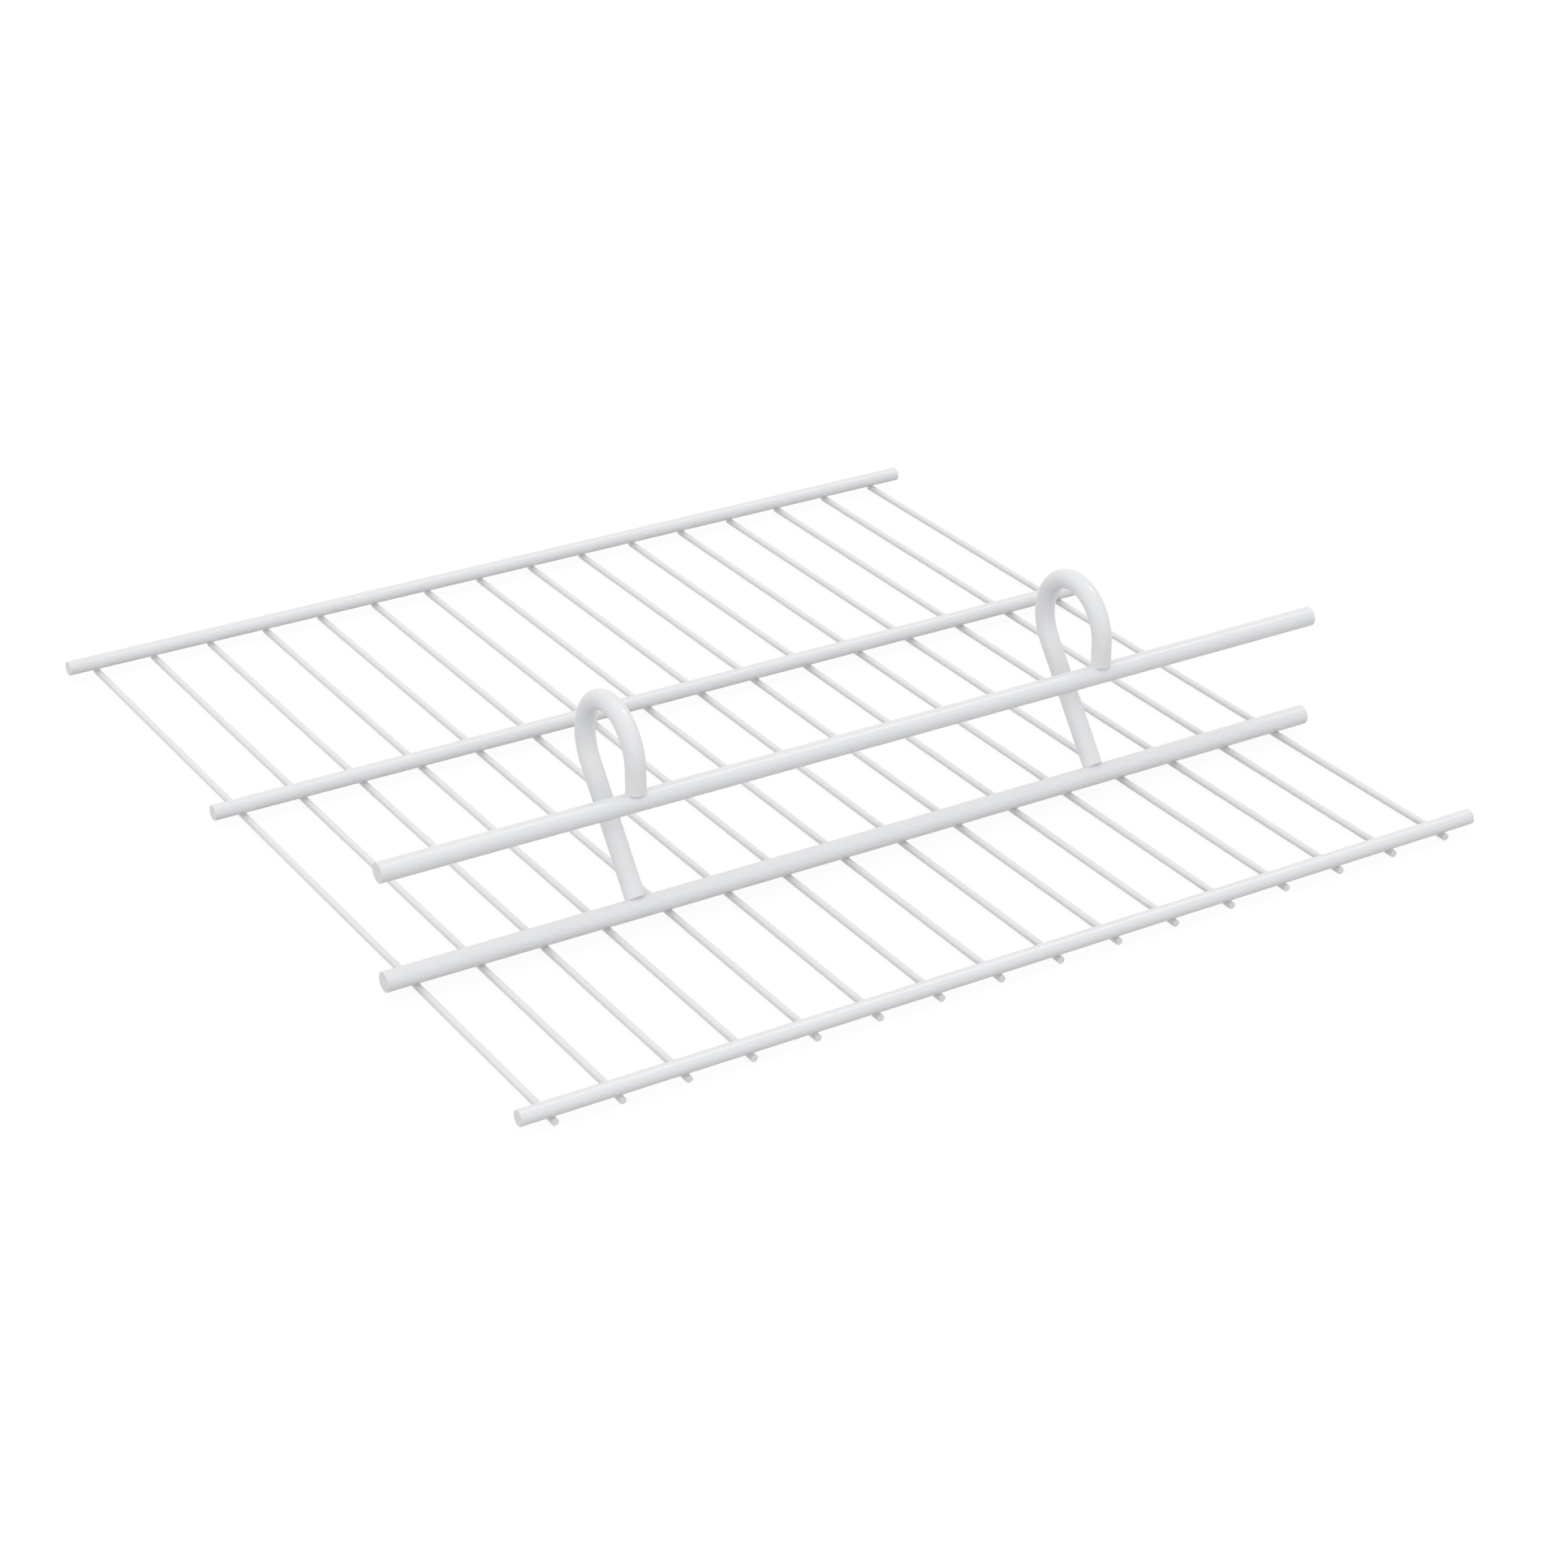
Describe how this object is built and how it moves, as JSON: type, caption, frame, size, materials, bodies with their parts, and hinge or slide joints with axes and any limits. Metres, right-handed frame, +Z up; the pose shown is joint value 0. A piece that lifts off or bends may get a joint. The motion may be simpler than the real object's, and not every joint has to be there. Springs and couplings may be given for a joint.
{
  "type": "ventilated wire shelf with hang rod",
  "caption": "Section of ventilated wire shelf in white coated steel: straight deck wires on lengthwise rods, with a thicker hang rod carried off the deck by bent rod hooks.",
  "frame": {"origin": "under the middle of the deck, on the surface that the deck wires lie on", "axes": "+X along the rods, +Y from the front edge to the wall edge, +Z up from the deck to the hang rod, as the section lies by itself; on a wall it hangs with +Z down"},
  "size_m": [0.4064, 0.4064, 0.0853],
  "materials": {
    "rod_coat": "satin white coating on round steel rod",
    "wire_coat": "satin white coating on thin steel wire",
    "hook_coat": "satin white coating on bent steel rod"
  },
  "bodies": {
    "root": {"front_rod": "rod_coat", "middle_rod": "rod_coat", "rear_rod": "rod_coat", "support_rod": "rod_coat", "hang_rod": "rod_coat", "cross_wire_01": "wire_coat", "cross_wire_02": "wire_coat", "cross_wire_03": "wire_coat", "cross_wire_04": "wire_coat", "cross_wire_05": "wire_coat", "cross_wire_06": "wire_coat", "cross_wire_07": "wire_coat", "cross_wire_08": "wire_coat", "cross_wire_09": "wire_coat", "cross_wire_10": "wire_coat", "cross_wire_11": "wire_coat", "cross_wire_12": "wire_coat", "cross_wire_13": "wire_coat", "cross_wire_14": "wire_coat", "cross_wire_15": "wire_coat", "cross_wire_16": "wire_coat", "hook_left": "hook_coat", "hook_right": "hook_coat"}
  },
  "joints": []
}
